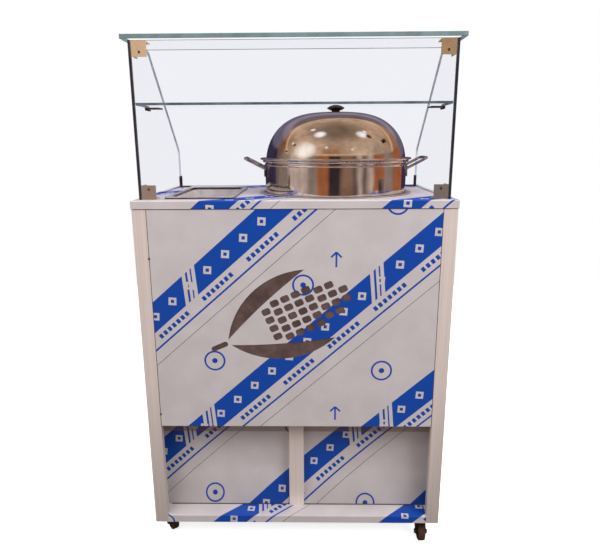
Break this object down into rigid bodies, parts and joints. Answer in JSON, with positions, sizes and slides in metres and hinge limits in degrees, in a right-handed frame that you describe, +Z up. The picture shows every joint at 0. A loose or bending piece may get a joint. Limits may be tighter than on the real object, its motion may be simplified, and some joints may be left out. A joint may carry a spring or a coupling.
{
  "type": "sweet corn stand",
  "caption": "Steel serving stand on casters with a lidded steam pot, a lift-out food pan, a glass guard with shelf and a doored cabinet.",
  "frame": {"origin": "on the floor, under the middle of the counter", "axes": "+X to the right of a buyer who faces the stand, +Y from the buyer's side to the seller's side, +Z up"},
  "size_m": [0.8, 0.52, 1.358],
  "materials": {
    "sheet_steel": "brushed stainless sheet",
    "film_steel": "stainless sheet under printed protective film",
    "polished_steel": "mirror polished stainless",
    "bronze_sheet": "dark bronze gloss sheet",
    "glass": "clear float glass with green edges",
    "clamp_steel": "satin steel",
    "screw_steel": "plated steel",
    "black_plastic": "black phenolic",
    "red_plastic": "clear red plastic",
    "heater_iron": "black cast iron",
    "black_paint": "black paint on pressed steel",
    "wheel_plastic": "brown moulded nylon"
  },
  "bodies": {
    "cabinet": {"side_panel_left": "sheet_steel", "side_panel_right": "sheet_steel", "base_tray": "sheet_steel", "base_channels": "sheet_steel", "niche_post": "sheet_steel", "mid_shelf": "sheet_steel", "control_panel": "sheet_steel", "heater_tray": "sheet_steel", "heater_hangers": "sheet_steel", "front_fascia": "film_steel", "inner_front_panel": "film_steel", "countertop": "film_steel", "pot_collar": "polished_steel", "pot_body": "polished_steel", "pot_handle_left": "polished_steel", "pot_handle_right": "polished_steel", "roof_glass": "glass", "front_glass": "glass", "side_glass_left": "glass", "side_glass_right": "glass", "shelf_glass": "glass", "corner_clamp_bottom_left": "clamp_steel", "corner_clamp_bottom_right": "clamp_steel", "corner_clamp_top_left": "clamp_steel", "corner_clamp_top_right": "clamp_steel", "rear_clamp_left": "clamp_steel", "rear_clamp_right": "clamp_steel", "shelf_clips": "clamp_steel", "fascia_screws": "screw_steel", "clamp_screws": "screw_steel", "door_hinge_pins": "screw_steel", "caster_bolts": "screw_steel", "caster_kingpins": "screw_steel", "thermostat_body": "black_plastic", "switch_frame": "black_plastic", "power_inlet": "black_plastic", "fascia_backing": "bronze_sheet", "heater_plate": "heater_iron", "pilot_lamp": "red_plastic", "caster_plates": "black_paint"},
    "lid": {"lid_dome": "polished_steel", "lid_knob": "black_plastic", "lid_knob_screw": "screw_steel"},
    "pan": {"gn_pan": "polished_steel"},
    "thermostat_dial": {"thermostat_knob": "black_plastic"},
    "power_rocker": {"switch_rocker": "red_plastic"},
    "left_door": {"door_left": "sheet_steel"},
    "right_door": {"door_right": "sheet_steel"},
    "fork_front_left": {"caster_fork_front_left": "black_paint", "caster_axle_front_left": "screw_steel"},
    "wheel_front_left": {"caster_wheel_front_left": "wheel_plastic"},
    "fork_front_right": {"caster_fork_front_right": "black_paint", "caster_axle_front_right": "screw_steel"},
    "wheel_front_right": {"caster_wheel_front_right": "wheel_plastic"},
    "fork_rear_left": {"caster_fork_rear_left": "black_paint", "caster_axle_rear_left": "screw_steel"},
    "wheel_rear_left": {"caster_wheel_rear_left": "wheel_plastic"},
    "fork_rear_right": {"caster_fork_rear_right": "black_paint", "caster_axle_rear_right": "screw_steel"},
    "wheel_rear_right": {"caster_wheel_rear_right": "wheel_plastic"}
  },
  "joints": [
    {"name": "lid_lift", "type": "slide", "parent": "cabinet", "child": "lid", "axis": [0, 0.866, 0.5], "range_m": [0, 0.42]},
    {"name": "pan_lift", "type": "slide", "parent": "cabinet", "child": "pan", "axis": [0, 0, 1], "range_m": [0, 0.15]},
    {"name": "thermostat_turn", "type": "hinge", "parent": "cabinet", "child": "thermostat_dial", "pos_m": [-0.2, 0.2365, 0.905], "axis": [0, 1, 0], "range_deg": [0, 270]},
    {"name": "power_switch", "type": "hinge", "parent": "cabinet", "child": "power_rocker", "pos_m": [-0.075, 0.2365, 0.905], "axis": [-1, 0, 0], "range_deg": [0, 16]},
    {"name": "left_door_hinge", "type": "hinge", "parent": "cabinet", "child": "left_door", "pos_m": [-0.3545, 0.2535, 0.4685], "axis": [0, 0, 1], "range_deg": [0, 110]},
    {"name": "right_door_hinge", "type": "hinge", "parent": "cabinet", "child": "right_door", "pos_m": [0.3545, 0.2535, 0.4685], "axis": [0, 0, -1], "range_deg": [0, 110]},
    {"name": "swivel_front_left", "type": "hinge", "parent": "cabinet", "child": "fork_front_left", "pos_m": [-0.357, -0.206, 0.06], "axis": [0, 0, 1], "continuous": true},
    {"name": "roll_front_left", "type": "hinge", "parent": "fork_front_left", "child": "wheel_front_left", "pos_m": [-0.36962, -0.18798, 0.025], "axis": [-0.8192, -0.5736, 0], "continuous": true},
    {"name": "swivel_front_right", "type": "hinge", "parent": "cabinet", "child": "fork_front_right", "pos_m": [0.357, -0.206, 0.06], "axis": [0, 0, 1], "continuous": true},
    {"name": "roll_front_right", "type": "hinge", "parent": "fork_front_right", "child": "wheel_front_right", "pos_m": [0.357, -0.228, 0.025], "axis": [1, 0, 0], "continuous": true},
    {"name": "swivel_rear_left", "type": "hinge", "parent": "cabinet", "child": "fork_rear_left", "pos_m": [-0.357, 0.206, 0.06], "axis": [0, 0, 1], "continuous": true},
    {"name": "roll_rear_left", "type": "hinge", "parent": "fork_rear_left", "child": "wheel_rear_left", "pos_m": [-0.346, 0.18695, 0.025], "axis": [0.866, 0.5, 0], "continuous": true},
    {"name": "swivel_rear_right", "type": "hinge", "parent": "cabinet", "child": "fork_rear_right", "pos_m": [0.357, 0.206, 0.06], "axis": [0, 0, 1], "continuous": true},
    {"name": "roll_rear_right", "type": "hinge", "parent": "fork_rear_right", "child": "wheel_rear_right", "pos_m": [0.346, 0.18695, 0.025], "axis": [0.866, -0.5, 0], "continuous": true}
  ]
}
